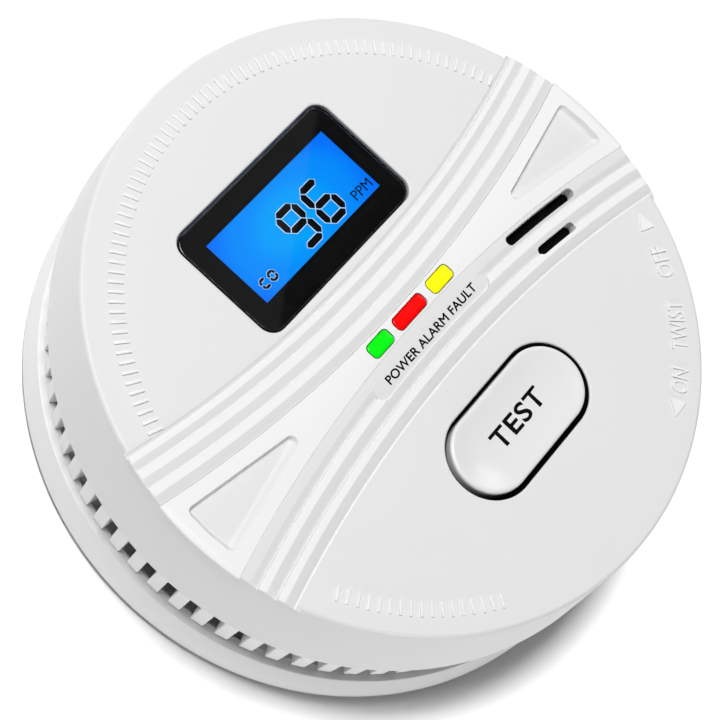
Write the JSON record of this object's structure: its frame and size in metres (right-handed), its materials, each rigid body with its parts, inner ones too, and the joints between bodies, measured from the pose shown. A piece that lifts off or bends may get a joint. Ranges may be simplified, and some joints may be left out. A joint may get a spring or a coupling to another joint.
{
  "type": "carbon monoxide detector",
  "caption": "Round battery-powered carbon monoxide detector with a lit display, three status lights, a test button, side vents and a twist-lock mounting bracket.",
  "frame": {"origin": "centre of the mounting bracket's flat back", "axes": "+Z out of the face, +X the reading direction of the face, +Y from the test button to the display"},
  "size_m": [0.1082, 0.1082, 0.0376],
  "materials": {
    "cover_plastic": "fine satin ABS",
    "housing_plastic": "satin ABS",
    "bracket_plastic": "satin ABS",
    "button_plastic": "semi-gloss ABS",
    "window_acrylic": "clear acrylic window, glossy",
    "mask_film": "black printed border",
    "display": "blue backlit liquid crystal display",
    "light_guide": "milky light guide",
    "inner_plastic": "natural moulded plastic",
    "elastomer": "soft strip",
    "lens_green": "tinted lens",
    "lens_red": "tinted lens",
    "lens_yellow": "tinted lens",
    "board": "solder-masked glass laminate",
    "black_plastic": "moulded black plastic",
    "aluminium_can": "satin",
    "ferrite": "sintered ferrite",
    "steel_can": "drawn can",
    "brass_disc": "plain",
    "cell_sleeve": "printed sleeve, no marks",
    "spring_steel": "nickel-plated spring steel",
    "screw_steel": "zinc-plated"
  },
  "bodies": {
    "bracket": {"mounting_bracket": "bracket_plastic"},
    "detector": {"rear_housing": "housing_plastic", "front_cover": "cover_plastic", "lcd_window": "window_acrylic", "window_mask": "mask_film", "lcd_glass": "display", "lcd_backlight": "light_guide", "lcd_frame": "inner_plastic", "lcd_connector": "elastomer", "led_lens_green": "lens_green", "led_lens_red": "lens_red", "led_lens_yellow": "lens_yellow", "led_green": "lens_green", "led_red": "lens_red", "led_yellow": "lens_yellow", "circuit_board": "board", "tact_switch_body": "black_plastic", "microcontroller": "black_plastic", "capacitor": "aluminium_can", "inductor": "ferrite", "co_sensor_can": "steel_can", "co_sensor_cap": "inner_plastic", "sounder_housing": "black_plastic", "piezo_disc": "brass_disc", "battery_1": "cell_sleeve", "battery_2": "cell_sleeve", "battery_3": "cell_sleeve", "contact_negative": "spring_steel", "contact_link_left": "spring_steel", "contact_link_right": "spring_steel", "contact_positive": "spring_steel", "cover_screw_1": "screw_steel", "cover_screw_2": "screw_steel", "cover_screw_3": "screw_steel", "cover_screw_4": "screw_steel", "board_screw_1": "screw_steel", "board_screw_2": "screw_steel", "board_screw_3": "screw_steel"},
    "button": {"test_button": "button_plastic"},
    "plunger": {"tact_switch_plunger": "inner_plastic"},
    "door": {"battery_door": "housing_plastic"}
  },
  "joints": [
    {"name": "bracket_twist", "type": "hinge", "parent": "bracket", "child": "detector", "pos_m": [0, 0, 0], "axis": [0, 0, 1], "range_deg": [0, 20]},
    {"name": "test_button_press", "type": "slide", "parent": "detector", "child": "button", "axis": [0, 0, -1], "range_m": [0, 0.001], "stiffness_N_per_m": 3000},
    {"name": "tact_plunger_press", "type": "slide", "parent": "detector", "child": "plunger", "axis": [0, 0, -1], "range_m": [0, 0.001]},
    {"name": "battery_door_hinge", "type": "hinge", "parent": "detector", "child": "door", "pos_m": [0, -0.02145, 0.0046], "axis": [-1, 0, 0], "range_deg": [0, 95]}
  ],
  "couplings": [
    {"joint": "tact_plunger_press", "follows": "test_button_press", "ratio": 1}
  ]
}
